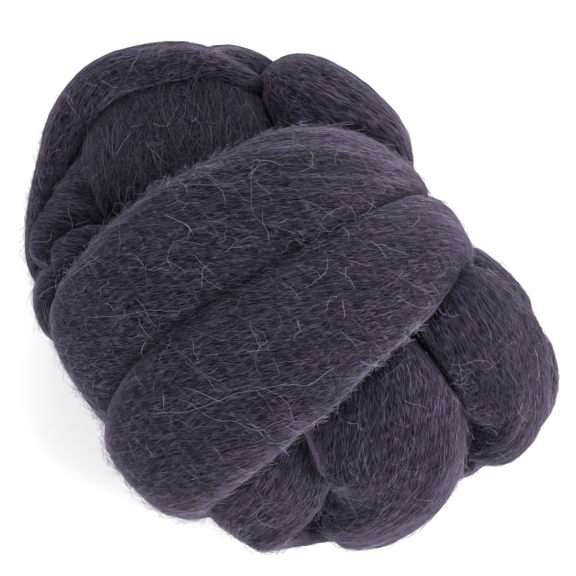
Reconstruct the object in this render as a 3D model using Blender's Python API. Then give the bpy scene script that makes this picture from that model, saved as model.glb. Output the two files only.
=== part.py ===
"""A hank of combed wool roving: one thick, soft, untwisted strand laid into loops and bound round its
own middle, with both ends tucked inside. It is one solid, resting on its flattened underside.

The axes: +X runs along the hank's length, +Y across it, +Z up. The two broad turns of strand round the
middle cross the length; the looped ends of the strand show on either side of them.
"""

import bmesh
import bpy
import numpy as np

MM = 0.001

# The soft strand and the mound it lies on, in millimetres.
MOUND_HALF_SIZE = (118.0, 92.0, 50.0)  # half axes of the rounded mound that the turns lie flat against
MOUND_CENTRE_HEIGHT = 48.0
SQUARENESS = 2.5  # power of the rounded-oval cross-section, where 2 is an ellipse
MIDDLE_SQUARENESS = 3.0  # the same for the two broad turns, which are pressed flatter
STATION_STEP = 6.0  # distance between cross-sections along the strand
SECTION_POINTS = 30  # points round one cross-section
LOWEST_TURN_HALF_SIZE = (75.0, 36.0)  # half axes of the oval turn that the hank stands on
LOWEST_TURN_ROWS = 12

# How far neighbouring turns sink into each other, in millimetres.
FELTING = 2.6  # gaps narrower than this close up
SOFTENING_PASSES = 6
KEPT_FACES = 0.2  # share of the faces kept after the surface is simplified

COLUMNS = ("x", "y", "z", "width", "thickness")

# Each table follows the middle line of one length of strand: its place, its width along the mound and
# its thickness away from the mound, all in millimetres.

# The turns wound first, which fill the inside of the hank.
INNER_TURNS = (
    (-82, -8, 31, 72, 66),
    (-45, -10, 36, 108, 76),
    (0, -4, 36, 132, 80),
    (46, 2, 36, 108, 76),
    (82, 8, 30, 68, 66),
)

# The two broad turns bound round the middle. Each runs over the top and back underneath.
MIDDLE_TURN_A = (
    (-8, -12, 13, 50, 28),
    (-20, -53, 17, 54, 28),
    (-30, -71, 38, 66, 33),
    (-28, -61, 62, 70, 32),
    (-24, -34, 82, 70, 32),
    (-16, 4, 88, 65, 32),
    (-9, 33, 84, 58, 32),
    (0, 54, 68, 45, 30),
    (3, 60, 44, 41, 28),
    (0, 45, 16, 46, 26),
    (-4, 17, 13, 50, 28),
)
MIDDLE_TURN_B = (
    (36, -18, 13, 50, 28),
    (28, -66, 17, 50, 28),
    (20, -83, 38, 54, 34),
    (18, -74, 62, 62, 35),
    (21, -44, 82, 68, 34),
    (26, -6, 88, 63, 34),
    (30, 26, 83, 57, 32),
    (33, 50, 67, 47, 30),
    (35, 58, 42, 42, 28),
    (35, 39, 16, 44, 26),
    (35, 12, 13, 50, 28),
)

# The loops at the +X end, from the biggest, which curls over and tucks back under itself.
END_LOOP_CURLED = (
    (31, 0, 56, 58, 34),
    (52, -6, 62, 64, 38),
    (75, -14, 56, 66, 40),
    (88, -19, 47, 60, 39),
    (91, -28, 40, 47, 36),
    (90, -37, 35, 32, 34),
    (83, -44, 31, 26, 32),
    (74, -49, 26, 24, 30),
    (62, -53, 20, 28, 28),
)
END_LOOP_CUPPED = (
    (37, -30, 48, 44, 30),
    (45, -47, 50, 52, 36),
    (46, -61, 42, 52, 40),
    (53, -72, 31, 46, 34),
    (64, -57, 25, 40, 30),
    (75, -46, 21, 36, 28),
    (83, -30, 18, 34, 26),
)
END_LOOP_FOLDED = (
    (37, 45, 54, 48, 34),
    (62, 39, 60, 50, 38),
    (80, 40, 54, 50, 38),
    (95, 37, 45, 45, 36),
    (102, 31, 37, 36, 34),
    (104, 19, 30, 31, 32),
    (98, 9, 24, 30, 28),
)
END_LOOP_BEHIND = (
    (22, 50, 38, 44, 30),
    (48, 53, 38, 42, 30),
    (67, 56, 34, 40, 30),
    (82, 50, 28, 40, 30),
    (88, 28, 22, 40, 28),
)
END_LOOP_BELOW = (
    (65, 46, 30, 44, 34),
    (86, 49, 32, 44, 32),
    (98, 44, 30, 40, 30),
    (102, 34, 26, 38, 28),
    (88, 16, 20, 40, 28),
)

# The loops at the -X end: a long arch with the broad strand laid inside it, and what shows around them.
FAR_LOOP_ARCH = (
    (-60, -60, 26, 34, 26),
    (-74, -53, 31, 38, 25),
    (-85, -43, 35, 40, 24),
    (-93, -33, 38, 40, 22),
    (-100, -22, 41, 40, 21),
    (-110, -8, 46, 38, 22),
    (-112, 14, 50, 38, 22),
    (-104, 28, 52, 38, 23),
    (-94, 41, 52, 38, 22),
    (-76, 46, 48, 40, 22),
    (-58, 44, 42, 40, 25),
    (-42, 37, 36, 40, 28),
)
FAR_LOOP_INSIDE = (
    (-30, 18, 56, 70, 44),
    (-56, 16, 54, 90, 42),
    (-76, 13, 51, 98, 40),
    (-92, 8, 46, 92, 36),
    (-105, 4, 39, 78, 32),
)
FAR_LOOP_BEHIND = (
    (-96, 32, 34, 30, 30),
    (-88, 46, 36, 34, 30),
    (-72, 52, 38, 40, 32),
    (-56, 50, 36, 44, 36),
    (-42, 43, 32, 44, 36),
)
FAR_LOOP_SIDE = (
    (-44, -18, 56, 50, 32),
    (-68, -26, 56, 58, 36),
    (-81, -34, 44, 60, 35),
    (-80, -42, 30, 56, 33),
    (-64, -43, 22, 44, 28),
)
FAR_LOOP_CORNER = (
    (-32, -36, 54, 44, 32),
    (-53, -45, 54, 50, 36),
    (-62, -56, 42, 50, 34),
    (-60, -62, 28, 46, 30),
    (-45, -55, 20, 40, 28),
)
FAR_LOOP_ROUNDED = (
    (-68, 57, 34, 40, 32),
    (-55, 61, 43, 50, 40),
    (-39, 63, 48, 56, 44),
    (-19, 64, 45, 57, 42),
    (-7, 60, 34, 40, 36),
    (-5, 50, 25, 34, 30),
)

RINGS = (MIDDLE_TURN_A, MIDDLE_TURN_B)

# Each length, and how far its flat side is turned to face up instead of out of the mound.
LENGTHS = (
    (INNER_TURNS, 0.0),
    (END_LOOP_CURLED, 1.2),
    (END_LOOP_CUPPED, 0.0),
    (END_LOOP_FOLDED, 1.2),
    (END_LOOP_BEHIND, 0.0),
    (END_LOOP_BELOW, 0.0),
    (FAR_LOOP_ARCH, 0.0),
    (FAR_LOOP_INSIDE, 1.5),
    (FAR_LOOP_BEHIND, 0.0),
    (FAR_LOOP_SIDE, 0.0),
    (FAR_LOOP_CORNER, 0.0),
    (FAR_LOOP_ROUNDED, 0.0),
)


def lowest_turn():
    """The oval turn under the hank, whose rows come from an ellipse."""
    angle = np.linspace(0.0, 2.0 * np.pi, LOWEST_TURN_ROWS, endpoint=False)
    height, width, thickness = 17.0, 42.0, 44.0
    return [
        (
            LOWEST_TURN_HALF_SIZE[0] * np.cos(a),
            LOWEST_TURN_HALF_SIZE[1] * np.sin(a),
            height,
            width,
            thickness,
        )
        for a in angle
    ]


def smooth_rows(rows, ring):
    """A Catmull-Rom curve through the rows, spaced by the square root of their distance, cut into
    stations at even steps. In a ring the curve runs on into its first row."""
    rows = np.array(rows, float)
    count = len(rows)
    if ring:
        rows = np.concatenate([rows[-2:], rows, rows[:3]])
    gaps = np.sqrt(np.linalg.norm(np.diff(rows[:, :3], axis=0), axis=1))
    at = np.concatenate([[0.0], np.cumsum(gaps)])
    slope = np.diff(rows, axis=0) / gaps[:, None]
    tangent = np.empty_like(rows)
    tangent[0] = slope[0]
    tangent[-1] = slope[-1]
    before, after = gaps[:-1, None], gaps[1:, None]
    tangent[1:-1] = (slope[:-1] * after + slope[1:] * before) / (before + after)

    first, last = (at[2], at[2 + count]) if ring else (at[0], at[-1])
    fine = np.linspace(first, last, 40 * count)
    part = np.clip(np.searchsorted(at, fine, side="right") - 1, 0, len(gaps) - 1)
    step = gaps[part][:, None]
    h = (fine - at[part])[:, None] / step
    curve = (
        (2 * h**3 - 3 * h**2 + 1) * rows[part]
        + (h**3 - 2 * h**2 + h) * step * tangent[part]
        + (3 * h**2 - 2 * h**3) * rows[part + 1]
        + (h**3 - h**2) * step * tangent[part + 1]
    )
    travelled = np.linalg.norm(np.diff(curve[:, :3], axis=0), axis=1)
    travelled = np.concatenate([[0.0], np.cumsum(travelled)])
    stations = max(8, round(travelled[-1] / STATION_STEP))
    even = np.linspace(0.0, travelled[-1], stations + 1)
    if ring:
        even = even[:-1]
    columns = [np.interp(even, travelled, curve[:, k]) for k in range(len(COLUMNS))]
    return np.stack(columns, axis=1), even


def unit(vectors):
    return vectors / np.linalg.norm(vectors, axis=-1, keepdims=True)


def power_wave(wave, squareness):
    """A sine or cosine swelled toward its ends, which makes an ellipse into a rounded oval."""
    return np.sign(wave) * np.abs(wave) ** (2.0 / squareness)


def strand_skin(rows, ring, squareness=SQUARENESS, turned_up=0.0):
    """The points and faces of one closed length of strand. Point (i, j) is the middle line at station
    i, plus half the width times the section's cosine along the mound, plus half the thickness times
    its sine away from the mound. The open ends shrink to a point as a quarter circle does."""
    stations, travelled = smooth_rows(rows, ring)
    centre = stations[:, :3]
    half_width = stations[:, 3] / 2.0
    half_thickness = stations[:, 4] / 2.0
    if ring:
        along = unit(np.roll(centre, -1, axis=0) - np.roll(centre, 1, axis=0))
        close = np.ones(len(centre))
    else:
        along = unit(np.gradient(centre, axis=0))
        rounded = np.minimum(half_width, travelled[-1] / 3.0)
        inset = np.minimum(travelled, travelled[-1] - travelled) / rounded
        close = np.sqrt(1.0 - (1.0 - np.clip(inset, 0.0, 1.0)) ** 2)
        close[[0, -1]] = 0.0

    away = (centre - (0.0, 0.0, MOUND_CENTRE_HEIGHT)) / np.square(MOUND_HALF_SIZE)
    away = unit(away) + (0.0, 0.0, turned_up)
    away = unit(away - (away * along).sum(1, keepdims=True) * along)
    across = np.cross(along, away)

    angle = np.linspace(0.0, 2.0 * np.pi, SECTION_POINTS, endpoint=False)
    wide = (half_width * close)[:, None] * power_wave(np.cos(angle), squareness)
    thick = (half_thickness * close)[:, None] * power_wave(np.sin(angle), squareness)
    grid = (
        centre[:, None]
        + across[:, None] * wide[..., None]
        + away[:, None] * thick[..., None]
    )

    count = len(centre)
    i = np.arange(count if ring else count - 1)[:, None]
    j = np.arange(SECTION_POINTS)[None, :]
    next_i = (i + 1) % count
    next_j = (j + 1) % SECTION_POINTS
    corners = [
        i * SECTION_POINTS + j,
        i * SECTION_POINTS + next_j,
        next_i * SECTION_POINTS + next_j,
        next_i * SECTION_POINTS + j,
    ]
    faces = np.stack([np.broadcast_to(c, corners[0].shape) for c in corners], axis=-1)
    return grid.reshape(-1, 3), faces.reshape(-1, 4)


def all_turns():
    """Every length of strand as one mesh of overlapping closed skins."""
    skins = [strand_skin(rows, True, MIDDLE_SQUARENESS) for rows in RINGS]
    skins.append(strand_skin(lowest_turn(), True))
    skins += [strand_skin(rows, False, turned_up=up) for rows, up in LENGTHS]
    points = []
    faces = []
    start = 0
    for skin_points, skin_faces in skins:
        points.append(skin_points * MM)
        faces.append(skin_faces + start)
        start += len(skin_points)
    mesh = bpy.data.meshes.new("turns")
    mesh.from_pydata(np.concatenate(points).tolist(), [], np.concatenate(faces).tolist())
    shape = bmesh.new()
    shape.from_mesh(mesh)
    bmesh.ops.remove_doubles(shape, verts=shape.verts, dist=0.01 * MM)
    bmesh.ops.recalc_face_normals(shape, faces=shape.faces)
    shape.to_mesh(mesh)
    shape.free()
    return mesh


def block(name, low, high):
    """A box between two opposite corners."""
    mesh = bpy.data.meshes.new(name)
    shape = bmesh.new()
    bmesh.ops.create_cube(shape, size=1.0)
    low, high = np.array(low), np.array(high)
    for corner in shape.verts:
        corner.co = (low + high) / 2.0 + np.array(corner.co) * (high - low)
    shape.to_mesh(mesh)
    shape.free()
    made = bpy.data.objects.new(name, mesh)
    bpy.context.scene.collection.objects.link(made)
    return made


def finished_mesh(made):
    """The mesh of an object with its modifiers worked out."""
    bpy.context.view_layer.update()
    graph = bpy.context.evaluated_depsgraph_get()
    return bpy.data.meshes.new_from_object(made.evaluated_get(graph))


def wool():
    material = bpy.data.materials.new("combed_wool")
    material.use_nodes = True
    shader = material.node_tree.nodes["Principled BSDF"]
    shader.inputs["Base Color"].default_value = (0.072, 0.052, 0.088, 1.0)
    shader.inputs["Roughness"].default_value = 0.85
    return material


for old in list(bpy.data.objects):
    bpy.data.objects.remove(old, do_unlink=True)

roving = bpy.data.objects.new("roving", all_turns())
bpy.context.scene.collection.objects.link(roving)

# The overlapping turns felt together into one skin, which is softened and simplified.
felt = roving.modifiers.new("felt", "REMESH")
felt.mode = "VOXEL"
felt.voxel_size = FELTING * MM
soften = roving.modifiers.new("soften", "SMOOTH")
soften.factor = 0.5
soften.iterations = SOFTENING_PASSES
simplify = roving.modifiers.new("simplify", "DECIMATE")
simplify.ratio = KEPT_FACES
simplify.use_collapse_triangulate = True

# The weight of the hank flattens its underside where it rests.
table_block = block(
    "table_block",
    np.array((-200.0, -200.0, -60.0)) * MM,
    np.array((200.0, 200.0, 0.0)) * MM,
)
table_block.hide_render = True
table_block.display_type = "WIRE"
flatten = roving.modifiers.new("flatten", "BOOLEAN")
flatten.operation = "DIFFERENCE"
flatten.solver = "EXACT"
flatten.object = table_block

# The solid is kept centred over the origin.
roving.data = finished_mesh(roving)
roving.modifiers.clear()
corners = np.empty(len(roving.data.vertices) * 3, np.float32)
roving.data.vertices.foreach_get("co", corners)
corners = corners.reshape(-1, 3)
centre = (corners.min(axis=0) + corners.max(axis=0)) / 2.0
corners[:, :2] -= centre[:2]
roving.data.vertices.foreach_set("co", corners.reshape(-1))
roving.data.update()
roving.data.materials.clear()
roving.data.materials.append(wool())
bpy.data.objects.remove(table_block, do_unlink=True)
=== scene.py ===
"""A hank of combed wool roving, dyed a dusky purple: one thick, soft, untwisted strand laid into loops,
bound round its own middle with two broad turns, and lying on a pale surface. Lengths are in millimetres
until they reach a mesh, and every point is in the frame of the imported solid."""

import bpy
import numpy as np
from mathutils import Matrix, Vector
from mathutils.bvhtree import BVHTree


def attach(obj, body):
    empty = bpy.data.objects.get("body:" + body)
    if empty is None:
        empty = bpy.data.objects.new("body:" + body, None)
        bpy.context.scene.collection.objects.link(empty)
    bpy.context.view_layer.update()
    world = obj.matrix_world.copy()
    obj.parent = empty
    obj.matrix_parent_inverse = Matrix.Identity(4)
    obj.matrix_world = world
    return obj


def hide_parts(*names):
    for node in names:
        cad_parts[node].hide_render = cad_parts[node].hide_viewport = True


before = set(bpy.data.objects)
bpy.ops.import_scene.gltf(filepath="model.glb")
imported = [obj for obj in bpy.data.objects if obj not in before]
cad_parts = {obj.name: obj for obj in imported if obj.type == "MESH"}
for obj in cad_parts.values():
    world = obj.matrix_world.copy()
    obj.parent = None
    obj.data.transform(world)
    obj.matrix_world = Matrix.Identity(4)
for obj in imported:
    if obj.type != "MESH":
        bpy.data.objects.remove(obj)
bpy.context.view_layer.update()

# ---- The turns wound first -------------------------------------------------------------------------
# The strand is combed wool, about 55 mm wide and half as thick. Its first turns fill the inside of the
# hank and make the oval that it stands on, and later turns hide nearly all of them.
HANK_CENTRE = np.array((-1.347, -7.321, 0.0))  # the middle of the rows below, kept over the origin
MOUND_CENTRE = np.array((0.0, 0.0, 48.0)) - HANK_CENTRE
MOUND_HALF_SIZE = np.array((118.0, 92.0, 50.0))  # the rounded mound that the turns lie flat against
SQUARENESS = 2.5  # power of the rounded-oval section, where 2 is an ellipse
USUAL_FLATNESS = 1.8  # a section's width over its thickness
GIRTH_FACTOR = 2.65  # the way round a section, over half its width and half its thickness together
STATION_STEP = 2.5  # from section to section along the strand
COLUMN_STEP = 1.4  # from point to point round a section
COARSE = 3.0  # how much wider apart a hidden turn's points are
LEAST_STEPS = 12  # along the shortest strand
FINE_CUTS = 80  # of the curve for each row, before it is cut at even steps
FINE_ANGLES = 4001  # round the section that the even angles are measured on
RING_FADE = 12.0  # the relief of a ring fades out this near its first station
TIP_OPENING = 0.08  # the least share of a section that counts as open at a rounded tip
SECTION_REACH = 6.0  # how far along the strand a section counts when a distance to it is taken
LEAST_SHARE = 0.05  # keeps that distance finite at the middle of a section
POINTS_AT_ONCE = 4000
TUCK_DEPTH = 1.8  # how far the surface is drawn in where another strand touches it
TUCK_REACH = 3.2  # how near the other strand has to be for that
TUCK_CURVE = 1.5
CREASE_SHADE_REACH = 3.4  # how near another strand is where the painted crease shade begins
LOBES = (55, 24, 1.0)  # length along the strand, width across it and height
ROPES = ((50, 13, 1.3), (32, 6.5, 0.7), (18, 3.2, 0.35))
USUAL_ROPE = 0.35  # the height that is taken off the ropes, so that the strand keeps its size
LOWEST_WOOL = 0.05  # above the table

# Each table follows the middle line of a length of strand: x, y, z, width and thickness.
INNER_TURNS = (
    (-82, -8, 31, 72, 66), (-45, -10, 36, 108, 76), (0, -4, 36, 132, 80), (46, 2, 36, 108, 76),
    (82, 8, 30, 68, 66),
)
LOWEST_TURN_HALF_SIZE = (75.0, 36.0)
LOWEST_TURN_SECTION = (17.0, 42.0, 44.0)  # height of its middle, width and thickness
LOWEST_TURN = [
    (LOWEST_TURN_HALF_SIZE[0] * np.cos(a), LOWEST_TURN_HALF_SIZE[1] * np.sin(a), *LOWEST_TURN_SECTION)
    for a in np.linspace(0.0, 2.0 * np.pi, 12, endpoint=False)
]


def unit(vectors):
    """The vectors, each over its own length."""
    return vectors / np.maximum(np.linalg.norm(vectors, axis=-1, keepdims=True), 1e-12)


def stations_along(rows, ring, step_length):
    """A Catmull-Rom curve through the rows, spaced by the square root of their distance, cut at even
    steps. In a ring the curve runs on into its first row."""
    rows = np.array(rows, float)
    rows[:, :3] -= HANK_CENTRE
    count = len(rows)
    if ring:
        rows = np.concatenate([rows[-2:], rows, rows[:3]])
    gaps = np.sqrt(np.linalg.norm(np.diff(rows[:, :3], axis=0), axis=1))
    at = np.concatenate([[0.0], np.cumsum(gaps)])
    slope = np.diff(rows, axis=0) / gaps[:, None]
    before, after = gaps[:-1, None], gaps[1:, None]
    middle = (slope[:-1] * after + slope[1:] * before) / (before + after)
    tangent = np.concatenate([slope[:1], middle, slope[-1:]])
    first, last = (at[2], at[2 + count]) if ring else (at[0], at[-1])
    fine = np.linspace(first, last, FINE_CUTS * count)
    part = np.clip(np.searchsorted(at, fine, side="right") - 1, 0, len(gaps) - 1)
    step = gaps[part][:, None]
    h = (fine - at[part])[:, None] / step
    curve = (2 * h**3 - 3 * h**2 + 1) * rows[part] + (h**3 - 2 * h**2 + h) * step * tangent[part]
    curve += (3 * h**2 - 2 * h**3) * rows[part + 1] + (h**3 - h**2) * step * tangent[part + 1]
    travelled = np.linalg.norm(np.diff(curve[:, :3], axis=0), axis=1)
    travelled = np.concatenate([[0.0], np.cumsum(travelled)])
    steps = max(LEAST_STEPS, round(travelled[-1] / step_length))
    even = np.linspace(0.0, travelled[-1], steps + 1)
    if ring:
        even = even[:-1]
    line = np.stack([np.interp(even, travelled, curve[:, k]) for k in range(5)], axis=1)
    return line, even, travelled[-1]


def power_wave(wave, power):
    """A sine or cosine swelled toward its ends, which makes an ellipse into a rounded oval: its size to
    the power of two over the section's own."""
    return np.sign(wave) * np.abs(wave) ** (2.0 / power)


def even_angles(power):
    """The section angle as a function of the share of the way round, for a section of usual flatness."""
    angle = np.linspace(0.0, 2.0 * np.pi, FINE_ANGLES)
    x, y = USUAL_FLATNESS * power_wave(np.cos(angle), power), power_wave(np.sin(angle), power)
    walked = np.concatenate([[0.0], np.cumsum(np.hypot(np.diff(x), np.diff(y)))])
    return walked / walked[-1], angle


def blend(values, row, column, columns, down, over):
    """Values between four neighbours on a grid whose columns go round: the two rows are mixed by the
    share down, then the two columns by the share over."""
    beside = (column + 1) % columns
    near = values[row, column] * (1 - down) + values[row + 1, column] * down
    return near * (1 - over) + (values[row, beside] * (1 - down) + values[row + 1, beside] * down) * over


def s_curve(share):
    """Three times the square less twice the cube, which is level at 0 and 1."""
    return share * share * (3 - 2 * share)


def swell(seed, cells_along, cells_round, along, share):
    """Smooth random heights from -1 to 1: random values on a lattice that repeats round the section,
    blended between neighbours by an S-curve."""
    values = np.random.default_rng(seed).uniform(-1.0, 1.0, (cells_along + 2, cells_round))
    down, over = along * cells_along, np.mod(share, 1.0) * cells_round
    row = np.clip(np.floor(down).astype(int), 0, cells_along)
    column = np.floor(over).astype(int) % cells_round
    down, over = np.clip(down - row, 0, 1), over - np.floor(over)
    return blend(values, row, column, cells_round, s_curve(down), s_curve(over))


class Turn:
    """One length of strand, as a grid of points and the normals there. Point (i, j) is the middle line
    at station i, plus half the width times the section's cosine along the mound, plus half the
    thickness times its sine away from the mound. The columns lean round the strand by the lay, so that
    each follows the fibres: above zero leans them to the left of the strand's own direction. An open
    end closes by a quarter circle as long as half the width. Upright turns the strand's flat side to
    the sky, soft is how often its folds are opened, and tuck and relief scale its grooves and ropes."""

    def __init__(self, name, rows, ring=False, lay=0.0, relief=1.0, seed=1, coarse=1.0, power=SQUARENESS,
                 upright=0.0, soft=8, tuck=1.0):
        self.name, self.ring, self.seed, self.relief, self.power = name, ring, seed, relief, power
        self.tuck = tuck * TUCK_DEPTH
        line, self.travelled, self.length = stations_along(rows, ring, STATION_STEP * coarse)
        self.centre = line[:, :3]
        self.half_width, self.half_thickness = line[:, 3] / 2.0, line[:, 4] / 2.0
        self.rows = len(line)
        from_end = np.minimum(self.travelled, self.length - self.travelled)
        if ring:
            along = unit(np.roll(self.centre, -1, axis=0) - np.roll(self.centre, 1, axis=0))
            self.opening = np.ones(self.rows)
            self.fade = np.clip(from_end / RING_FADE, 0.0, 1.0)
        else:
            along = unit(np.gradient(self.centre, axis=0))
            inset = np.clip(from_end / np.minimum(self.half_width, self.length / 3.0), 0.0, 1.0)
            self.opening = np.sqrt(1.0 - (1.0 - inset) ** 2)
            self.fade = self.opening**2
        away = unit((self.centre - MOUND_CENTRE) / MOUND_HALF_SIZE**2) + (0.0, 0.0, upright)
        self.away = unit(away - (away * along).sum(1, keepdims=True) * along)
        self.along, self.across = along, np.cross(along, self.away)
        self.girth = GIRTH_FACTOR * (self.half_width.mean() + self.half_thickness.mean())
        self.columns = round(self.girth / COLUMN_STEP / coarse)
        lean = lay * self.length / self.girth
        self.shift = round(lean * self.columns) if ring else 0
        lean = self.shift / self.columns if ring else lean
        self.column = np.arange(self.columns) / self.columns
        share = self.column[None] + lean * (self.travelled / self.length)[:, None]
        angle = np.interp(np.mod(share, 1.0), *even_angles(power))
        sideways = (self.half_width * self.opening)[:, None] * power_wave(np.cos(angle), power)
        outward = (self.half_thickness * self.opening)[:, None] * power_wave(np.sin(angle), power)
        grid = self.centre[:, None] + self.across[:, None] * sideways[..., None]
        self.grid = grid + self.away[:, None] * outward[..., None]
        self.soften(round(soft / coarse))
        self.normal = self.normals()

    def with_ends(self, grid):
        """The grid with the row before its first and the row after its last. A ring's columns have
        moved on by the shift when they come round again."""
        if self.ring:
            before, after = np.roll(grid[-1], self.shift, axis=0), np.roll(grid[0], -self.shift, axis=0)
        else:
            before, after = grid[0], grid[-1]
        return np.concatenate([before[None], grid, after[None]])

    def soften(self, passes):
        """Each point moves toward the mean of the four beside it, which opens the folds of tight bends."""
        for _ in range(passes):
            longer = self.with_ends(self.grid)
            self.grid = 0.25 * longer[:-2] + 0.5 * self.grid + 0.25 * longer[2:]
            beside = np.roll(self.grid, 1, axis=1) + np.roll(self.grid, -1, axis=1)
            self.grid = 0.5 * self.grid + 0.25 * beside

    def normals(self):
        """The way out of the strand at each point of the grid, from the grid's own two directions."""
        longer = self.with_ends(self.grid)
        down = longer[2:] - longer[:-2]
        across = np.roll(self.grid, -1, axis=1) - np.roll(self.grid, 1, axis=1)
        normal = unit(np.cross(across, down))
        outward = self.grid - self.grid.mean(axis=1, keepdims=True)
        return normal * np.sign((outward * normal).sum())

    def depth_of(self, points):
        """How far points lie outside this strand, in millimetres, below zero inside. It takes the
        nearest station, and compares a point with the rounded oval of the section there."""
        found = np.empty(len(points))
        for start in range(0, len(points), POINTS_AT_ONCE):
            some = points[start : start + POINTS_AT_ONCE]
            product = some @ self.centre.T
            near = (np.square(self.centre).sum(1)[None] - 2.0 * product).argmin(1)
            offset = some - self.centre[near]
            opening = np.maximum(self.opening[near], TIP_OPENING)
            a = np.abs((offset * self.across[near]).sum(1)) / (self.half_width[near] * opening)
            b = np.abs((offset * self.away[near]).sum(1)) / (self.half_thickness[near] * opening)
            c = np.abs((offset * self.along[near]).sum(1)) / SECTION_REACH
            share = (a**self.power + b**self.power + c**self.power) ** (1.0 / self.power)
            size = np.linalg.norm(offset, axis=1)
            found[start : start + POINTS_AT_ONCE] = size * (1.0 - 1.0 / np.maximum(share, LEAST_SHARE))
        return found

    def settle(self, others):
        """Where another strand meets this one, its surface is drawn in, so that a groove parts the two.
        Then it is raised in lobes and ropes that follow the fibres. A rope's height is the size of its
        swell, whatever its sign, so that creases part the ropes."""
        points = self.grid.reshape(-1, 3)
        gap = np.min([other.depth_of(points) for other in others], axis=0)
        self.gap = gap.reshape(self.grid.shape[:2])
        near = np.clip(1.0 - self.gap / TUCK_REACH, 0.0, 1.0)
        drawn_in = self.tuck * near**TUCK_CURVE * self.fade[:, None]
        self.grid = self.grid - self.normal * drawn_in[..., None]
        at = np.broadcast_to((self.travelled / self.length)[:, None], self.gap.shape)
        column = np.broadcast_to(self.column[None], self.gap.shape)
        lift = np.zeros(self.gap.shape)
        for layer, (length, width, height) in enumerate((LOBES, *ROPES)):
            cells = max(2, round(self.length / length)), max(3, round(self.girth / width))
            wave = swell(self.seed + layer, *cells, at, column)
            lift += height * (wave if layer == 0 else np.abs(wave) - USUAL_ROPE)
        self.grid = self.grid + self.normal * (self.relief * lift * self.fade[:, None])[..., None]
        self.grid[..., 2] = np.maximum(self.grid[..., 2], LOWEST_WOOL)
        self.normal = self.normals()

    def creases(self):
        """How near another strand is at each point of the mesh, which sets its painted crease shade: 0
        from
        CREASE_SHADE_REACH on, 1 at a touch.
        """
        near = np.clip(1.0 - self.gap / CREASE_SHADE_REACH, 0.0, 1.0)
        if self.ring:
            return near.reshape(-1)
        return np.concatenate([near[1:-1].reshape(-1), near[[0, -1]].mean(axis=1)])

    def mesh(self):
        """The grid as a closed mesh of quads, an open length closed by a fan of triangles at each end:
        points, the corners of the faces, how many each face has, and each corner's place on the grid."""
        rows, columns = self.rows, self.columns
        last_row = rows if self.ring else rows - 1
        row, column = np.meshgrid(np.arange(last_row), np.arange(columns), indexing="ij")
        if self.ring:
            points = self.grid.reshape(-1, 3)

            def index(at_row, at_column):
                moved = np.where(at_row == rows, at_column + self.shift, at_column)
                return (at_row % rows) * columns + moved % columns
        else:
            points = np.concatenate([self.grid[1:-1].reshape(-1, 3), self.grid[[0, -1]].mean(axis=1)])
            row, column = row[1:-1], column[1:-1]

            def index(at_row, at_column):
                return (at_row - 1) * columns + at_column % columns
        around = ((0, 0), (0, 1), (1, 1), (1, 0))
        loops = np.stack([index(row + down, column + over) for down, over in around], -1).reshape(-1)
        corner_row = np.stack([row + down for down, _ in around], -1).reshape(-1)
        corner_column = np.stack([column + over for _, over in around], -1).reshape(-1)
        sizes = np.full(len(loops) // 4, 4)
        if not self.ring:
            here = np.arange(columns)
            first, last = np.full(columns, len(points) - 2), np.full(columns, len(points) - 1)
            loops = np.concatenate([
                loops,
                np.stack([first, index(1, here + 1), index(1, here)], -1).reshape(-1),
                np.stack([last, index(rows - 2, here), index(rows - 2, here + 1)], -1).reshape(-1),
            ])
            sizes = np.concatenate([sizes, np.full(2 * columns, 3)])
            fan_rows = np.tile((0, 1, 1), columns), np.tile((rows - 1, rows - 2, rows - 2), columns)
            corner_row = np.concatenate([corner_row, *fan_rows])
            first_fan = np.stack([here + 0.5, here + 1, here], -1).reshape(-1)
            last_fan = np.stack([here + 0.5, here, here + 1], -1).reshape(-1)
            corner_column = np.concatenate([corner_column, first_fan, last_fan])
        return points, loops, sizes, corner_row, corner_column


HIDDEN_TURNS = [
    Turn("inner_turns", INNER_TURNS, lay=0.2, seed=141, coarse=COARSE),
    Turn("lowest_turn", LOWEST_TURN, ring=True, lay=0.1, seed=151, coarse=COARSE),
]

# ---- The loops at the near end ---------------------------------------------------------------------
# The strand comes out from under the middle turns and doubles back on itself. The biggest loop curls
# over and tucks its end beneath, one beside it is bent round a hollow like a cupped hand, and one is
# folded at the corner. Two more lie below and behind, and fill the end out.
END_LOOP_CURLED = (
    (31, 0, 60, 58, 36), (52, -6, 66, 66, 38), (75, -15, 57, 69, 40), (86, -20, 47, 65, 39),
    (89, -28, 40, 50, 36), (89, -37, 34, 36, 33), (84, -45, 27, 30, 33), (75, -46, 20, 24, 28),
    (60, -37, 17, 24, 24),
)
END_LOOP_CUPPED = (
    (37, -30, 54, 48, 34), (46, -47, 57, 60, 36), (48, -62, 47, 66, 38), (51, -71, 37, 61, 38),
    (57, -66, 28, 44, 35), (66, -54, 21, 38, 34), (77, -41, 20, 40, 32), (90, -26, 20, 36, 28),
)
END_LOOP_FOLDED = (
    (37, 45, 57, 48, 36), (62, 39, 63, 50, 38), (80, 40, 54, 50, 38), (95, 37, 45, 45, 36),
    (102, 31, 37, 36, 34), (104, 19, 30, 31, 32), (98, 9, 24, 30, 28),
)
END_LOOP_BEHIND = (
    (22, 50, 38, 44, 30), (48, 53, 38, 42, 30), (67, 56, 34, 40, 30), (82, 50, 28, 40, 30),
    (88, 28, 22, 40, 28),
)
END_LOOP_BELOW = (
    (65, 46, 30, 44, 34), (86, 49, 32, 44, 32), (98, 44, 30, 40, 30), (102, 34, 26, 38, 28),
    (93, 16, 20, 42, 28), (86, -2, 20, 42, 28), (80, -20, 18, 40, 26),
)
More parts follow.
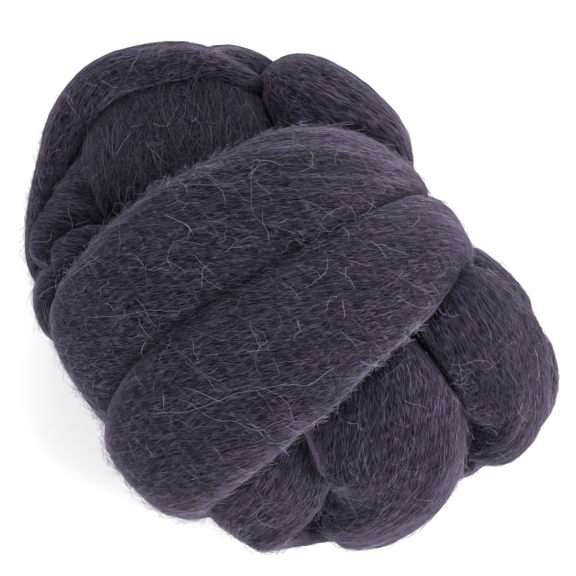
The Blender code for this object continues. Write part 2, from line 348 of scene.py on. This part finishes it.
END_LOOPS = [
    Turn("end_loop_curled", END_LOOP_CURLED, lay=-0.35, seed=31, upright=1.2, soft=16),
    Turn("end_loop_cupped", END_LOOP_CUPPED, lay=-0.1, seed=41, soft=14, power=2.0, tuck=0.3),
    Turn("end_loop_folded", END_LOOP_FOLDED, lay=-0.2, seed=51, upright=1.2, soft=16),
    Turn("end_loop_behind", END_LOOP_BEHIND, lay=-0.1, seed=61),
    Turn("end_loop_below", END_LOOP_BELOW, lay=-0.1, seed=71),
]

# ---- The loops at the far end ----------------------------------------------------------------------
# A long arch goes round the broad, loosened strand inside it. Two loops stand at its side, one more
# behind it, and a rounded one comes out beyond the groove at its end.
FAR_LOOP_ARCH = (
    (-60, -60, 26, 34, 26), (-74, -53, 31, 39, 25), (-85, -43, 35, 42, 25), (-93, -33, 38, 43, 23),
    (-100, -22, 41, 43, 22), (-110, -8, 46, 43, 23), (-112, 14, 50, 42, 23), (-104, 28, 52, 41, 23),
    (-94, 41, 52, 40, 22), (-76, 46, 48, 41, 22), (-58, 44, 42, 40, 25), (-42, 37, 36, 40, 28),
)
FAR_LOOP_INSIDE = (
    (-30, 18, 56, 70, 44), (-56, 16, 55, 92, 42), (-76, 12, 53, 102, 41), (-92, 7, 48, 96, 37),
    (-105, 3, 41, 80, 33),
)
FAR_LOOP_BEHIND = (
    (-96, 32, 34, 30, 30), (-88, 46, 36, 34, 30), (-72, 52, 38, 40, 32), (-56, 50, 36, 44, 36),
    (-42, 43, 32, 44, 36),
)
FAR_LOOP_SIDE = (
    (-44, -18, 56, 56, 32), (-68, -25, 55, 66, 36), (-81, -34, 43, 64, 35), (-80, -42, 30, 56, 33),
    (-64, -43, 22, 44, 28),
)
FAR_LOOP_CORNER = (
    (-32, -36, 54, 44, 32), (-53, -45, 54, 50, 36), (-62, -56, 42, 50, 34), (-60, -62, 28, 46, 30),
    (-45, -55, 20, 40, 28),
)
FAR_LOOP_ROUNDED = (
    (-68, 57, 34, 40, 32), (-55, 61, 43, 50, 40), (-39, 63, 48, 56, 44), (-19, 64, 45, 57, 42),
    (-7, 60, 34, 40, 36), (-5, 50, 25, 34, 30),
)
LOOSENED_LOOP = Turn(
    "far_loop_inside", FAR_LOOP_INSIDE, lay=-0.7, relief=1.3, seed=91, power=2.0, upright=1.5, tuck=0.0
)
FAR_LOOPS = [
    Turn("far_loop_arch", FAR_LOOP_ARCH, lay=0.1, seed=81, power=2.0, tuck=0.0),
    LOOSENED_LOOP,
    Turn("far_loop_behind", FAR_LOOP_BEHIND, lay=0.0, seed=101),
    Turn("far_loop_side", FAR_LOOP_SIDE, lay=0.1, seed=111, power=1.8, tuck=0.0),
    Turn("far_loop_corner", FAR_LOOP_CORNER, lay=0.1, seed=121),
    Turn("far_loop_rounded", FAR_LOOP_ROUNDED, lay=0.0, seed=131),
]

# ---- The two turns round the middle ----------------------------------------------------------------
# The last of the strand is wrapped twice round the middle of the hank, side by side, over the top and
# back underneath, and holds the loops together. Its combed fibres cross it at a slant.
MIDDLE_TURN_A = (
    (-8, -12, 13, 50, 28), (-20, -53, 17, 54, 28), (-28, -71, 38, 70, 34), (-25, -61, 62, 76, 33),
    (-24, -34, 82, 70, 32), (-16, 4, 88, 65, 32), (-9, 33, 84, 58, 32), (0, 54, 68, 45, 30),
    (3, 60, 44, 41, 28), (0, 45, 16, 46, 26), (-4, 17, 13, 50, 28),
)
MIDDLE_TURN_B = (
    (36, -18, 13, 50, 28), (28, -66, 17, 50, 28), (20, -83, 38, 54, 34), (18, -74, 62, 62, 35),
    (21, -44, 82, 68, 34), (26, -6, 88, 63, 34), (30, 26, 83, 57, 32), (33, 50, 67, 47, 30),
    (35, 58, 42, 42, 28), (35, 39, 16, 44, 26), (35, 12, 13, 50, 28),
)
MIDDLE_TURNS = [
    Turn("middle_turn_a", MIDDLE_TURN_A, ring=True, lay=-0.40, relief=0.75, seed=11, power=2.8, tuck=0.4),
    Turn("middle_turn_b", MIDDLE_TURN_B, ring=True, lay=-0.36, relief=0.75, seed=21, power=2.3, tuck=0.1),
]

# ---- The wool surface ------------------------------------------------------------------------------
# Combed wool has no weave: its fibres all run along the strand, in streaks of lighter and darker dyed
# fleece, with painted shadow between the fibres. Where two turns press together both are drawn in,
# and the crease between them is darkened by painted shade. Only in the loosened strand inside the
# arch do the fibres cross each other in a tangle, and its wool is painted darker as shade there.
MM = 0.001  # a millimetre in a mesh's metres
SHOWN_TURNS = END_LOOPS + FAR_LOOPS + MIDDLE_TURNS
ALL_TURNS = HIDDEN_TURNS + SHOWN_TURNS
# The shadow colours are the streaks' dark ends: painted shadow between the fibres, and the crease shade's
# colour
PURPLE, PURPLE_SHADOW = (0.0108, 0.0070, 0.0147), (0.0006, 0.0004, 0.0010)
SLATE, SLATE_SHADOW = (0.0102, 0.0076, 0.0134), (0.0006, 0.0005, 0.0010)
PALE_LINE = (0.066, 0.049, 0.082)
SHEEN = (0.76, 0.63, 0.95)
# painted crease shade: how far the wool goes toward its shadow colour where another strand touches
PAINTED_CREASE_SHADE = 0.75
FULL_LINES = 1.3  # how many lines have to cross for the wool to be as pale as they are
WANDER = (10.0, 4.0)  # length and width of the slow bends of a line, each up to 1 mm to a side
WAVES = (1.7, 1.1)  # length and width of its crimp
LINE_WIDTH, LINE_BAND = 0.52, 0.08  # of the noise, and how far from its middle value a line ends
BREAK_WIDTH, BREAKS = 0.7, (0.36, 0.68)  # no line shows below the first value, and all of it above
STREAK_WIDTH, ROPE_WIDTH = 0.30, 2.0
BROAD_SHADE = (50.0, 12.0)  # length and width
DARK_TO_LIGHT = (0.33, 0.66)
PATCH_SIZE = (18.0, 6.0)
PATCHES = (0.42, 0.60)  # the noise where purple begins to turn to slate, and where it has
LAYER_STEP = 9.0  # how far apart two layers of one noise are cut, so that they differ
RELIEF_HEIGHT = 0.8
SEED_STEP = 40.0  # how much farther along the pattern the turn of the next seed starts
BAKE_MAP, FIBRE_MAP = "OFBake", "fibres"


class Wire:
    """An output of a shader node, which adds the Math node of each operator used on it."""

    def __init__(self, finish, socket):
        self.finish, self.socket = finish, socket

    def maths(self, operation, *values):
        return self.finish.node("ShaderNodeMath", {"operation": operation}, values)

    def __add__(self, other):
        return self.maths("ADD", self, other)

    __radd__ = __add__

    def __sub__(self, other):
        return self.maths("SUBTRACT", self, other)

    def __rsub__(self, other):
        return self.maths("SUBTRACT", other, self)

    def __mul__(self, other):
        return self.maths("MULTIPLY", self, other)

    __rmul__ = __mul__

    def __abs__(self):
        return self.maths("ABSOLUTE", self)


class Finish:
    """A new material, whose nodes are made one at a time and join up to its shader."""

    def __init__(self, name):
        self.material = bpy.data.materials.new(name)
        self.material.use_nodes = True
        self.nodes, self.links = self.material.node_tree.nodes, self.material.node_tree.links
        self.shader = self.nodes["Principled BSDF"]

    def put(self, socket, value):
        if isinstance(value, Wire):
            self.links.new(value.socket, socket)
        else:
            socket.default_value = value

    def node(self, kind, settings=(), inputs=(), output=0):
        """A node of that type: its settings first, then its inputs by name or by place."""
        made = self.nodes.new(kind)
        for key, value in dict(settings).items():
            setattr(made, key, value)
        for key, value in inputs.items() if isinstance(inputs, dict) else enumerate(inputs):
            self.put(made.inputs[key], value)
        return Wire(self, made.outputs[output])

    def mix(self, factor, one, two):
        """A colour between two, by the factor."""
        return self.node("ShaderNodeMix", {"data_type": "RGBA"}, {0: factor, 6: one, 7: two}, output=2)

    def ramp(self, value, low, high):
        """0 at low and 1 at high, with a straight run between."""
        return self.node("ShaderNodeMapRange", {}, {"Value": value, "From Min": low, "From Max": high})

    def surface(self, **values):
        """Sets the shader's own sockets, named with _ for a space."""
        for key, value in values.items():
            self.put(self.shader.inputs[key.replace("_", " ")], value)
        return self.material


def shaded(colour, share=1.0):
    """A colour with that share of its light, as a socket takes it."""
    return (*(part * share for part in colour), 1.0)


def new_piece(name, points, loops, sizes, maps, tones):
    """An object from points and the corners of its faces, with a UV map for each entry of maps, and a
    number for each point in the attribute tone: for a turn, how deep in a crease its wool lies, which
    sets its painted crease shade; for a fibre, how pale it is. Faces are turned over if the volume
    inside, the sum of the pyramids from the origin to each face, is below zero."""
    starts = np.concatenate([[0], np.cumsum(sizes)[:-1]])
    volume = 0.0
    for size in (3, 4):
        first = starts[sizes == size]
        for k in range(1, size - 1):
            a, b, c = (points[loops[first + step]] for step in (0, k, k + 1))
            volume += (a * np.cross(b, c)).sum()
    if volume < 0:
        begin, size = starts.repeat(sizes), sizes.repeat(sizes)
        order = 2 * begin + size - 1 - np.arange(len(loops))
        loops = loops[order]
        maps = {title: uv[order] for title, uv in maps.items()}
    mesh = bpy.data.meshes.new(name)
    mesh.vertices.add(len(points))
    mesh.vertices.foreach_set("co", (points * MM).astype(np.float32).ravel())
    mesh.loops.add(len(loops))
    mesh.loops.foreach_set("vertex_index", loops.astype(np.int32))
    mesh.polygons.add(len(sizes))
    mesh.polygons.foreach_set("loop_start", starts.astype(np.int32))
    for title, uv in maps.items():
        mesh.uv_layers.new(name=title).data.foreach_set("uv", uv.astype(np.float32).ravel())
    mesh.attributes.new("tone", "FLOAT", "POINT").data.foreach_set("value", tones.astype(np.float32))
    mesh.update(calc_edges=True)
    mesh.shade_smooth()
    made = bpy.data.objects.new(name, mesh)
    bpy.context.scene.collection.objects.link(made)
    return made


def wool_skin(name, length, crimp, leans, shade):
    """Thin pale lines over darker streaks, on the fibre map, whose first number runs along the strand
    and second across it, in metres. A line is where a noise drawn out along the fibres crosses its
    middle value: 1 there and 0 a little to either side. One layer of lines for each lean, the slope
    that it crosses the strand at. The lines bend by the crimp, in millimetres. The shade scales the
    wool's colours and sheen tint: below 1 it is painted shade. Painted crease shade darkens it further."""
    wool = Finish(name)
    place = wool.node("ShaderNodeUVMap", {"uv_map": FIBRE_MAP})
    along = wool.node("ShaderNodeSeparateXYZ", {}, (place,), output=0)
    across = wool.node("ShaderNodeSeparateXYZ", {}, (place,), output=1)

    def noise(long, wide, sideways, layer=0, detail=0.0):
        """Noise about that long and wide, in millimetres, around 0.5."""
        x, y = along * (1.0 / (long * MM)), sideways * (1.0 / (wide * MM))
        spot = wool.node("ShaderNodeCombineXYZ", {}, (x, y, long + wide + LAYER_STEP * layer))
        values = {"Vector": spot, "Scale": 1.0, "Detail": detail, "Roughness": 0.6}
        return wool.node("ShaderNodeTexNoise", {}, values)

    def bent(lean, layer):
        """The way across the fibres, slanted by the lean, with its slow bends and its crimp."""
        slanted = across + along * lean
        wander = noise(*WANDER, slanted, layer)
        waves = noise(*WAVES, slanted, layer)
        return slanted + (wander - 0.5) * (2.0 * MM) + (waves - 0.5) * (2.0 * crimp * MM)

    def hairs(lean, layer):
        """One layer of lines, with breaks in them."""
        sideways = bent(lean, layer)
        line = wool.ramp(abs(noise(length, LINE_WIDTH, sideways, layer) - 0.5), LINE_BAND, 0.0)
        return line * wool.ramp(noise(length, BREAK_WIDTH, sideways, layer + 4), *BREAKS)

    flow = bent(0.0, 0)
    fine = noise(0.7 * length, STREAK_WIDTH, flow, 9, detail=1.0)
    ropes = noise(4.0 * length, ROPE_WIDTH, flow, 10, detail=1.0)
    broad = noise(*BROAD_SHADE, flow, 11)
    ground = wool.ramp(fine * 0.65 + ropes * 0.20 + broad * 0.15, *DARK_TO_LIGHT)
    lines = 0.0
    for layer, lean in enumerate(leans):
        lines = hairs(lean, layer + 1) + lines
    patches = wool.ramp(noise(*PATCH_SIZE, flow, 12), *PATCHES)
    purple = wool.mix(ground, shaded(PURPLE_SHADOW), shaded(PURPLE, shade))
    slate = wool.mix(ground, shaded(SLATE_SHADOW), shaded(SLATE, shade))
    body = wool.mix(patches, purple, slate)
    lit = wool.mix(wool.ramp(lines, 0.0, FULL_LINES), body, shaded(PALE_LINE, shade))
    # painted crease shade: the wool goes toward near black where another strand is near
    crease = wool.node("ShaderNodeAttribute", {"attribute_name": "tone"}, output=2)
    colour = wool.mix(crease * PAINTED_CREASE_SHADE, lit, shaded(PURPLE_SHADOW))
    height = ropes * 0.6 + fine * 0.5 + lines * 0.1
    relief = {"Strength": 1.0, "Distance": RELIEF_HEIGHT * MM, "Height": height}
    bump = wool.node("ShaderNodeBump", {}, relief)
    return wool.surface(
        Base_Color=colour, Normal=bump, Roughness=0.85, Specular_IOR_Level=0.03, Sheen_Weight=0.48,
        Sheen_Roughness=0.30, Sheen_Tint=shaded(SHEEN, shade),
    )


COMBED_SKIN = wool_skin("combed_skin", 4.5, 0.24, (0.0, 0.20, -0.24), 1.0)
# painted shade: the tangled wool's colours and sheen tint are scaled to 0.7, for the shade inside the arch
TANGLED_SHADED_SKIN = wool_skin("tangled_shaded_skin", 2.2, 0.45, (0.0, 0.9, -0.8), 0.7)
for turn in ALL_TURNS:
    turn.settle([other for other in SHOWN_TURNS if other is not turn])
for turn in ALL_TURNS:
    points, loops, sizes, corner_row, corner_column = turn.mesh()
    along = corner_row * (turn.length / turn.rows) + SEED_STEP * turn.seed
    across = corner_column * (turn.girth / turn.columns)
    fibres = np.stack([along, across], axis=1) * MM
    bake = np.stack([corner_row / turn.rows, corner_column / turn.columns], axis=1)
    maps = {BAKE_MAP: bake, FIBRE_MAP: fibres}
    # a turn's tone is its painted crease shade
    piece = new_piece(turn.name, points, loops, sizes, maps, turn.creases())
    piece.data.materials.append(TANGLED_SHADED_SKIN if turn is LOOSENED_LOOP else COMBED_SKIN)
    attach(piece, "root")
    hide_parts("roving")

# ---- The fibres on the surface ---------------------------------------------------------------------
# Single fibres and thin wisps lie along the strand, kinked by their crimp and lifted a little from it.
# Some stray across it, those inside the arch are tangled, and a fine fuzz of loose ends stands off
# all round.
SPOT_STEP = 3  # fibres are given out on every third row and column
BURIED = -0.6  # wool deeper than this in another strand gets none
FULL_FACING = 0.6  # the upward part of the normal from which a spot gets its whole share
FLAT_SHARE = 0.06  # the share of a spot that faces up too much for fuzz to show there
LOWEST_ROOT = 2.5  # above the table
LOWEST_FIBRE = 0.02
TUBE_SIDES = 3
CELL_MARGIN = 0.1  # round each fibre's own square of the bake map
TONE_SPREAD = 0.65
RISE_CURVE = 1.6
FIBRE_DARK, FIBRE_LILAC, FIBRE_GREY = (0.003, 0.0022, 0.0042), (0.30, 0.24, 0.36), (0.29, 0.26, 0.34)
FIBRE_PATCH = 6.0  # the size of the greyer places
LYING = {"stations": 8, "length": (7.0, 14.0), "radius": (0.03, 0.06), "slant": 0.14, "crimp": 0.22,
         "curl": 0.10, "lift": (0.0, 0.35), "rise": (0.0, 0.25), "lightness": 0.10}
STRAYING = {"stations": 14, "length": (12.0, 26.0), "radius": (0.025, 0.045), "slant": 0.6, "crimp": 0.12,
            "curl": 0.28, "lift": (0.1, 0.6), "rise": (0.0, 0.9), "lightness": 0.20}
TANGLED = {"stations": 9, "length": (6.0, 12.0), "radius": (0.03, 0.05), "slant": 1.5, "crimp": 0.2,
           "curl": 0.35, "lift": (0.1, 0.7), "rise": (0.0, 0.5), "lightness": 0.11}
STANDING = {"stations": 7, "length": (4.0, 12.0), "radius": (0.03, 0.06), "slant": 1.2, "crimp": 0.1,
            "curl": 0.35, "lift": (0.0, 0.4), "rise": (0.5, 4.0), "lightness": 0.60, "facing": -0.20,
            "flattest": 0.30}


def open_places(turn, lowest_facing, flattest):
    """A coarse set of the grid's rows and columns, and the share of the fibres that each of its points
    gets: none inside another strand or near the table, less where it faces down, and where flattest is
    given, only a few where it faces up more than that."""
    rows, columns = np.arange(0, turn.rows, SPOT_STEP), np.arange(0, turn.columns, SPOT_STEP)
    points, upward = turn.grid[rows][:, columns], turn.normal[rows][:, columns][..., 2]
    shown = turn.gap[rows][:, columns] > BURIED
    facing = np.clip((upward - lowest_facing) / (FULL_FACING - lowest_facing), 0.0, 1.0)
    if flattest is not None:
        facing = np.where(upward > flattest, FLAT_SHARE, 1.0) * (upward > lowest_facing)
    return rows, columns, shown * facing * (points[..., 2] > LOWEST_ROOT)


def on_grid(turn, values, row, column):
    """The grid's values at fractions of a row and column, blended from the four around."""
    row = np.clip(row, 0.0, turn.rows - 1.001)
    at_row, at_column = np.floor(row).astype(int), np.floor(column).astype(int)
    down, over = (row - at_row)[..., None], (column - at_column)[..., None]
    return blend(values, at_row, at_column % turn.columns, turn.columns, down, over)


def tubes(name, path, outward, radius, tone):
    """Closed tubes of three sides: path and outward are (fibre, station, xyz), radius and tone one
    number a fibre. The first and last stations are single points. On the bake map the fibres lie in
    squares, side by side."""
    count, steps = path.shape[:2]
    tangent = unit(np.gradient(path, axis=1))
    side = unit(np.cross(tangent, outward))
    up = np.cross(side, tangent)
    angle = np.arange(TUBE_SIDES) * 2.0 * np.pi / TUBE_SIDES
    inner = slice(1, steps - 1)
    ring = side[:, inner, None] * np.cos(angle)[:, None] + up[:, inner, None] * np.sin(angle)[:, None]
    ring = path[:, inner, None] + ring * radius[:, None, None, None]
    points = np.concatenate([path[:, :1], ring.reshape(count, -1, 3), path[:, -1:]], axis=1)
    points[..., 2] = np.maximum(points[..., 2], LOWEST_FIBRE)
    each = points.shape[1]
    corner = np.arange(TUBE_SIDES)
    beside = (corner + 1) % TUBE_SIDES
    start = 1 + TUBE_SIDES * np.arange(steps - 3)[:, None]
    following = start + TUBE_SIDES
    quads = np.stack([start + corner, start + beside, following + beside, following + corner], axis=-1)
    last_ring = each - 1 - TUBE_SIDES
    first = np.stack([0 * corner, 1 + beside, 1 + corner], axis=-1)
    last = np.stack([0 * corner + each - 1, last_ring + corner, last_ring + beside], axis=-1)
    faces = np.concatenate([quads.reshape(-1), first.reshape(-1), last.reshape(-1)])
    sizes = np.tile(np.concatenate([np.full(quads.size // 4, 4), np.full(2 * TUBE_SIDES, 3)]), count)
    loops = (faces[None] + each * np.arange(count)[:, None]).reshape(-1)
    ring_steps = np.repeat(np.arange(1, steps - 1), TUBE_SIDES)
    length_way = np.concatenate([[0.0], ring_steps, [steps - 1.0]]) / (steps - 1)
    round_way = np.concatenate([[0.5], np.tile(corner / (TUBE_SIDES - 1.0), steps - 2), [0.5]])
    cells = int(np.ceil(np.sqrt(count)))
    cell = np.stack([np.arange(count) % cells, np.arange(count) // cells], axis=1)
    place = np.stack([length_way, round_way], axis=1)[faces]
    bake = (cell[:, None] + CELL_MARGIN + (1.0 - 2.0 * CELL_MARGIN) * place[None]) / cells
    maps = {BAKE_MAP: bake.reshape(-1, 2)}
    return new_piece(name, points.reshape(-1, 3), loops, sizes, maps, np.repeat(tone, each))


def strewn_fibres(name, turns, count, seed, stations, length, radius, slant, crimp, curl, lift, rise,
                  lightness, facing=-0.5, flattest=None):
    """Fibres at random open places of the turns. Each runs along the columns, turned by a random slope,
    then at each station by its crimp, to the left and right in turn, and by a random walk, its curl.
    It is lifted in an arc, and raised toward one end by its rise."""
    chance = np.random.default_rng(seed)
    found = [open_places(turn, facing, flattest) for turn in turns]
    areas = [share.mean() * turn.length * turn.girth for turn, (_, _, share) in zip(turns, found)]
    paths, normals = [], []
    for turn, (rows, columns, share), area in zip(turns, found, areas):
        number = round(count * area / sum(areas))
        picked = chance.choice(share.size, number, p=(share / share.sum()).ravel())
        row_step, column_step = turn.length / turn.rows, turn.girth / turn.columns
        spread = -SPOT_STEP / 2.0, SPOT_STEP / 2.0, number
        row = rows[picked // len(columns)] + chance.uniform(*spread)
        column = columns[picked % len(columns)] + chance.uniform(*spread)
        reach = chance.uniform(*length, number)[:, None] / (stations - 1)
        along = np.linspace(-0.5, 0.5, stations)[None]
        heading = chance.normal(0.0, slant, number)[:, None] + crimp * (-1.0) ** np.arange(stations)
        heading = heading + np.cumsum(chance.normal(0.0, curl, (number, stations)), axis=1)
        ahead = np.cumsum(reach * np.cos(heading), axis=1)
        aside = np.cumsum(reach * np.sin(heading), axis=1)
        middle = stations // 2
        row = row[:, None] + (ahead - ahead[:, middle, None]) / row_step
        column = column[:, None] + (aside - aside[:, middle, None]) / column_step
        point = on_grid(turn, turn.grid, row, column)
        normal = unit(on_grid(turn, turn.normal, row, column))
        high = chance.uniform(*lift, (number, 1)) * (1.0 - 4.0 * along**2) ** 0.5
        high = high + chance.uniform(*rise, number)[:, None] * (along + 0.5) ** RISE_CURVE
        paths.append(point + normal * high[..., None])
        normals.append(normal)
    path, normal = np.concatenate(paths), np.concatenate(normals)
    tone = np.clip(np.exp(chance.normal(np.log(lightness), TONE_SPREAD, len(path))), 0.0, 1.0)
    return tubes(name, path, normal, chance.uniform(*radius, len(path)), tone)


def wool_fibre():
    """A single fibre, from near black to pale lilac by its own tone, greyer in some places."""
    wool = Finish("wool_fibre")
    tone = wool.node("ShaderNodeAttribute", {"attribute_name": "tone"}, output=2)
    place = wool.node("ShaderNodeTexCoord", output=3)
    values = {"Vector": place, "Scale": 1.0 / (FIBRE_PATCH * MM), "Detail": 1.0}
    patches = wool.ramp(wool.node("ShaderNodeTexNoise", {}, values), *PATCHES)
    pale = wool.mix(patches, shaded(FIBRE_LILAC), shaded(FIBRE_GREY))
    colour = wool.mix(tone, shaded(FIBRE_DARK), pale)
    return wool.surface(Base_Color=colour, Roughness=0.6, Specular_IOR_Level=0.10)


WOOL_FIBRE = wool_fibre()
FIBRE_PIECES = [
    strewn_fibres("fibres_on_middle_turn_a", MIDDLE_TURNS[:1], 3600, 201, **LYING),
    strewn_fibres("fibres_on_middle_turn_b", MIDDLE_TURNS[1:], 3600, 202, **LYING),
    strewn_fibres("fibres_on_end_loops", END_LOOPS, 3200, 203, **LYING),
    strewn_fibres("fibres_on_far_loops", FAR_LOOPS, 3000, 204, **LYING),
    strewn_fibres("tangled_fibres", [LOOSENED_LOOP], 1500, 207, **TANGLED),
    strewn_fibres("stray_fibres", SHOWN_TURNS, 1300, 205, **STRAYING),
    strewn_fibres("fuzz", SHOWN_TURNS, 6500, 206, **STANDING),
]
for piece in FIBRE_PIECES:
    piece.data.materials.append(WOOL_FIBRE)
    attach(piece, "root")

# ---- The flyaway hairs -----------------------------------------------------------------------------
# Single pale hairs that the combing left loose lie over the turns in long waves and curls. Each rests
# on the wool where the photograph shows it, and bridges the creases that it crosses.
PICTURE_SIDE = 576.0  # the photograph's side, in the pixels that the points below are given in
FLYAWAY_HAIRS = (
    ((149, 414), (195, 411), (204, 404), (224, 401), (232, 393), (255, 391), (289, 383)),
    ((200, 412), (216, 421), (238, 421), (246, 428), (261, 432), (269, 425), (289, 418)),
    ((255, 390), (267, 401), (274, 414), (289, 420)),
    ((38, 301), (42, 292), (61, 284), (69, 277), (100, 255)),
    ((85, 317), (120, 316), (150, 310), (180, 311)),
    ((195, 267), (206, 280), (222, 290)),
    ((262, 160), (250, 175), (252, 215), (262, 224), (280, 228), (300, 235)),
    ((255, 181), (262, 188), (272, 194)),
    ((248, 176), (256, 168), (267, 163)),
    ((272, 154), (277, 160), (286, 155), (295, 154), (307, 167), (318, 163)),
    ((169, 186), (189, 184), (213, 185), (240, 182)),
    ((328, 257), (327, 271), (320, 278), (304, 289)),
    ((153, 150), (160, 158), (170, 166)),
    ((173, 121), (167, 126), (160, 126), (153, 123)),
    ((119, 217), (120, 245), (117, 258)),
    ((126, 209), (124, 214), (119, 216), (114, 214), (112, 209), (114, 204), (119, 202), (124, 204),
     (126, 209)),
    ((280, 384), (308, 386), (318, 380), (336, 365)),
    ((370, 348), (370, 361), (366, 374)),
    ((459, 359), (462, 381), (460, 393)),
    ((320, 483), (343, 497), (362, 501)),
    ((362, 443), (365, 459), (368, 472)),
)
HAIR_POINTS = 26
ROUNDING_PASSES = 3  # over the corners of a hair's line
HAIR_KINK = 0.35  # in pixels, to any side
SPANNING_PASSES = 12  # which lift a hair out of the creases
HAIR_LIFT = 0.7  # toward the eye from the wool
HAIR_TONE, HAIR_RADIUS = (0.45, 0.85), (0.05, 0.075)
AZIMUTH, ELEVATION, DISTANCE = np.radians(45.0), np.radians(75.0), 750.0
AIM = np.array((3.747, 11.321, 42.0))
VIEW_WIDTH = 239.0  # across the picture at the aim
LEVEL = np.cos(ELEVATION)
BACK = np.array((np.sin(AZIMUTH) * LEVEL, -np.cos(AZIMUTH) * LEVEL, np.sin(ELEVATION)))
RIGHT = np.array((np.cos(AZIMUTH), np.sin(AZIMUTH), 0.0))
EYE = AIM + DISTANCE * BACK


def wool_tree():
    """The shown turns as one set of faces that a ray can be sent at."""
    points, faces, start = [], [], 0
    for turn in SHOWN_TURNS:
        found, loops, sizes, _, _ = turn.mesh()
        quads = loops[: 4 * (sizes == 4).sum()].reshape(-1, 4)
        points.append(found)
        faces.append(quads + start)
        start += len(found)
    return BVHTree.FromPolygons(np.concatenate(points).tolist(), np.concatenate(faces).tolist())


def flyaway_hairs(seed):
    """Each hair's points are spread evenly along its line in the picture, rounded, and kinked at
    random. A ray from the eye through each finds the wool, and the distances are drawn toward the eye
    until none is farther than the middle of its neighbours, as in a hair that spans a crease."""
    chance = np.random.default_rng(seed)
    tree, up, paths = wool_tree(), np.cross(BACK, RIGHT), []
    for line in FLYAWAY_HAIRS:
        line = np.array(line, float)
        travelled = np.concatenate([[0.0], np.cumsum(np.linalg.norm(np.diff(line, axis=0), axis=1))])
        even = np.linspace(0.0, travelled[-1], HAIR_POINTS)
        place = np.stack([np.interp(even, travelled, line[:, k]) for k in range(2)], axis=1)
        for _ in range(ROUNDING_PASSES):
            place[1:-1] = (place[:-2] + 2.0 * place[1:-1] + place[2:]) / 4.0
        place = place + chance.normal(0.0, HAIR_KINK, place.shape)
        offset = (place / PICTURE_SIDE - 0.5) * VIEW_WIDTH
        ray = unit(-DISTANCE * BACK + offset[:, :1] * RIGHT - offset[:, 1:] * up)
        hits = [tree.ray_cast(EYE.tolist(), one.tolist())[3] for one in ray]
        far = np.array([DISTANCE if hit is None else hit for hit in hits])
        for _ in range(SPANNING_PASSES):
            far[1:-1] = np.minimum(far[1:-1], (far[:-2] + far[2:]) / 2.0)
        paths.append(EYE + ray * (far - HAIR_LIFT)[:, None])
    paths = np.array(paths)
    outward = np.broadcast_to(BACK, paths.shape)
    tone = chance.uniform(*HAIR_TONE, len(paths))
    return tubes("flyaway_hairs", paths, outward, chance.uniform(*HAIR_RADIUS, len(paths)), tone)


hairs = flyaway_hairs(208)
hairs.data.materials.append(WOOL_FIBRE)
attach(hairs, "root")

# ---- The table and the light -----------------------------------------------------------------------
# A plain pale surface in a white tent of light, with a softbox at each of four corners, the strongest
# at the right. It is seen from almost straight above. Places and sides here are in metres.
TABLE_REACH = 4.0
TABLE_WHITE = (0.93, 0.92, 0.94)
TENT_STRENGTH = 0.42
HANK_MIDDLE = Vector((0.0, 0.0, 0.04))
SOFTBOXES = (  # name, place, side and watts
    ("softbox_right", (1.70, 1.40, 0.95), 2.2, 145.0),
    ("softbox_near", (1.10, -1.80, 0.70), 2.0, 70.0),
    ("softbox_far", (-0.90, 1.80, 0.70), 2.0, 70.0),
    ("softbox_left", (-1.60, -1.40, 0.60), 2.0, 50.0),
)
SENSOR_WIDTH = 36.0  # in millimetres

table_corners = [(TABLE_REACH * x, TABLE_REACH * y, 0.0) for x, y in ((-1, -1), (1, -1), (1, 1), (-1, 1))]
table_mesh = bpy.data.meshes.new("table_top")
table_mesh.from_pydata(table_corners, [], [(0, 1, 2, 3)])
table_top = bpy.data.objects.new("table_top", table_mesh)
bpy.context.scene.collection.objects.link(table_top)
pale_table = Finish("pale_table").surface(Base_Color=shaded(TABLE_WHITE), Roughness=0.9)
table_top.data.materials.append(pale_table)

tent = bpy.data.worlds.new("tent")
tent.use_nodes = True
tent.node_tree.nodes["Background"].inputs["Color"].default_value = (1.0, 1.0, 1.0, 1.0)
tent.node_tree.nodes["Background"].inputs["Strength"].default_value = TENT_STRENGTH
bpy.context.scene.world = tent


def softbox(name, place, side, watts):
    """A square area light, turned to face the hank."""
    lamp = bpy.data.lights.new(name, "AREA")
    lamp.shape, lamp.size, lamp.energy = "SQUARE", side, watts
    made = bpy.data.objects.new(name, lamp)
    bpy.context.scene.collection.objects.link(made)
    facing = (HANK_MIDDLE - Vector(place)).to_track_quat("-Z", "Y")
    made.matrix_world = Matrix.Translation(place) @ facing.to_matrix().to_4x4()


for values in SOFTBOXES:
    softbox(*values)

lens = bpy.data.cameras.new("lens")
lens.sensor_width, lens.lens = SENSOR_WIDTH, SENSOR_WIDTH * DISTANCE / VIEW_WIDTH
camera = bpy.data.objects.new("camera", lens)
bpy.context.scene.collection.objects.link(camera)
turned = Vector(-BACK).to_track_quat("-Z", "Y").to_matrix().to_4x4()
camera.matrix_world = Matrix.Translation(EYE * MM) @ turned
bpy.context.scene.camera = camera
bpy.context.scene.view_settings.view_transform = "Standard"
